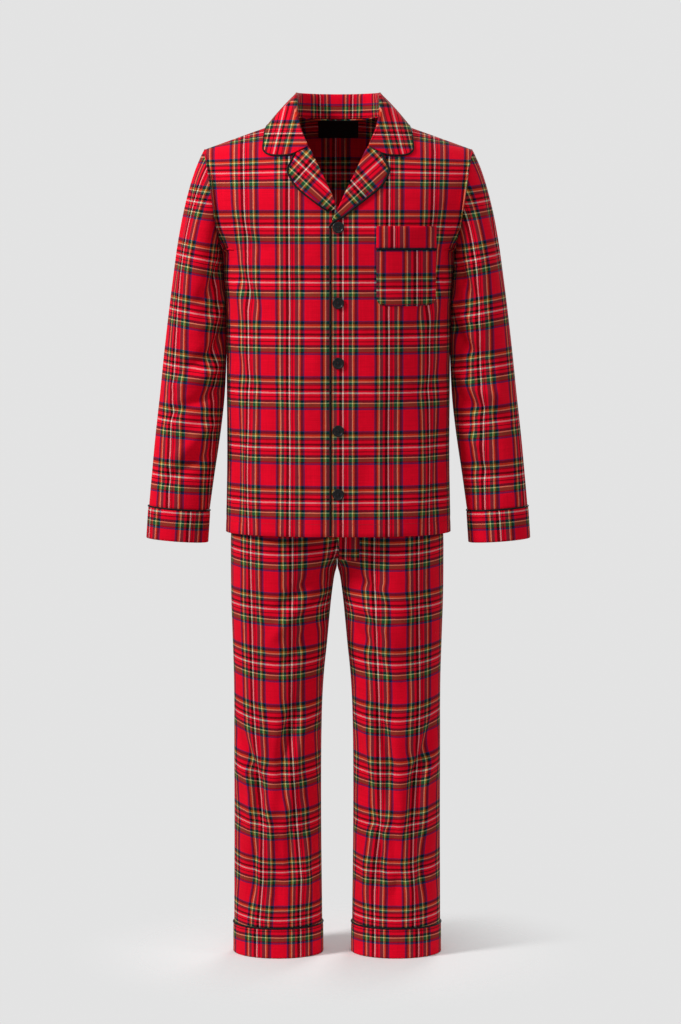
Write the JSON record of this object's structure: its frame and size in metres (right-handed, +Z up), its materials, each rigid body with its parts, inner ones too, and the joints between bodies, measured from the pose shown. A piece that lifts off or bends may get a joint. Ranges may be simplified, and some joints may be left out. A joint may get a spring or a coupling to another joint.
{
  "type": "pyjama set",
  "caption": "Filled-out pyjama set in checked flannel: notch-collar buttoned top with piped chest pocket and cuffs, and straight long trousers with piped hem bands.",
  "frame": {"origin": "middle of the neck base, level with the neck ends of the shoulder seams, where a wearer's shoulders carry the top", "axes": "+Z up, +X to the viewer's right when the front is seen, the front faces -Y"},
  "size_m": [0.673, 0.2448, 1.5124],
  "materials": {
    "check_cloth": "brushed cotton flannel, woven red tartan check with black, green, blue, yellow and white lines",
    "piping": "black satin-weave cotton piping with a faint sheen",
    "button": "black four-hole shirt button, half-gloss",
    "label": "plain black woven label, no lettering"
  },
  "bodies": {
    "root": {"front_right": "check_cloth", "front_left": "check_cloth", "back": "check_cloth", "sleeve_right": "check_cloth", "sleeve_left": "check_cloth", "cuff_right": "check_cloth", "cuff_piping_right": "piping", "cuff_left": "check_cloth", "cuff_piping_left": "piping", "collar": "check_cloth", "collar_piping": "piping", "lapel_right": "check_cloth", "lapel_left": "check_cloth", "lapel_piping_right": "piping", "lapel_piping_left": "piping", "pocket": "check_cloth", "pocket_band": "check_cloth", "pocket_piping": "piping", "button_1": "button", "button_2": "button", "button_3": "button", "button_4": "button", "button_5": "button", "neck_label": "label", "leg_front_right": "check_cloth", "leg_back_right": "check_cloth", "leg_front_left": "check_cloth", "leg_back_left": "check_cloth", "waistband": "check_cloth", "fly": "check_cloth", "hem_right": "check_cloth", "hem_piping_right": "piping", "hem_left": "check_cloth", "hem_piping_left": "piping"}
  },
  "joints": []
}
